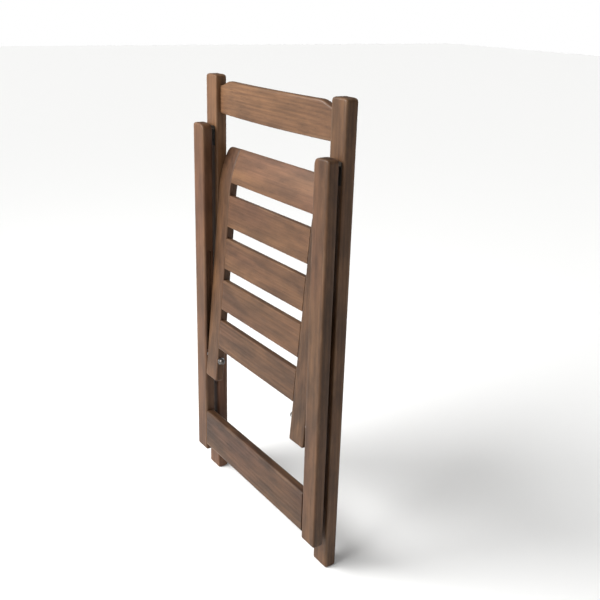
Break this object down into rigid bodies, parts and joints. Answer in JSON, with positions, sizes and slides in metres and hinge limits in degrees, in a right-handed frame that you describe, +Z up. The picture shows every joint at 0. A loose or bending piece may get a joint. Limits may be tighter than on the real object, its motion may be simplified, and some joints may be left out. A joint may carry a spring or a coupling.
{
  "type": "folding chair",
  "caption": "Folding wooden chair with a slatted seat, bowed back rail and hinged rear legs, stored folded flat.",
  "frame": {"origin": "centre of the folded chair's outline on the floor, under the front feet", "axes": "+X across the chair, to the sitter's right, +Y the way a sitter faces, +Z up along the folded legs"},
  "size_m": [0.44, 0.0718, 0.84],
  "materials": {
    "front_frame_wood": "brown stain under satin lacquer",
    "rear_frame_wood": "brown stain under satin lacquer",
    "seat_wood": "brown stain under satin lacquer",
    "dowel_wood": "bare beech",
    "hinge_steel": "zinc plated",
    "zinc_steel": "zinc plated",
    "bright_zinc": "bright nickel plate",
    "black_nylon": "moulded nylon"
  },
  "bodies": {
    "front_frame": {"left_front_leg": "front_frame_wood", "right_front_leg": "front_frame_wood", "crest_rail": "front_frame_wood", "crest_rail_dowels": "dowel_wood", "seat_support_rod": "zinc_steel", "left_hinge_front_leaf": "hinge_steel", "right_hinge_front_leaf": "hinge_steel", "hinge_pins": "zinc_steel", "front_leaf_screws": "zinc_steel"},
    "rear_frame": {"left_rear_leg": "rear_frame_wood", "right_rear_leg": "rear_frame_wood", "floor_rail": "rear_frame_wood", "floor_rail_dowels": "dowel_wood", "left_hinge_rear_leaf": "hinge_steel", "right_hinge_rear_leaf": "hinge_steel", "rear_leaf_screws": "zinc_steel"},
    "seat_guides": {"guide_rollers": "black_nylon"},
    "seat": {"left_seat_rail": "seat_wood", "right_seat_rail": "seat_wood", "seat_slat_1": "seat_wood", "seat_slat_2": "seat_wood", "seat_slat_3": "seat_wood", "seat_slat_4": "seat_wood", "seat_slat_5": "seat_wood", "stop_cleats": "seat_wood", "cleat_screws": "zinc_steel", "seat_bolts": "zinc_steel", "spacer_washers": "zinc_steel", "nut_washers": "zinc_steel", "domed_nuts": "bright_zinc"}
  },
  "joints": [
    {"name": "leg_fold", "type": "hinge", "parent": "front_frame", "child": "rear_frame", "pos_m": [0, -0.00968, 0.743], "axis": [-1, 0, 0], "range_deg": [0, 40]},
    {"name": "seat_slide", "type": "slide", "parent": "rear_frame", "child": "seat_guides", "axis": [0, 0, 1], "range_m": [0, 0.2166]},
    {"name": "seat_tilt", "type": "hinge", "parent": "seat_guides", "child": "seat", "pos_m": [0, -0.02418, 0.281], "axis": [-1, 0, 0], "range_deg": [0, 64.8]}
  ],
  "couplings": [
    {"joint": "seat_slide", "follows": "leg_fold", "m_per_rad": 0.31013},
    {"joint": "seat_tilt", "follows": "leg_fold", "ratio": 1.6189}
  ]
}
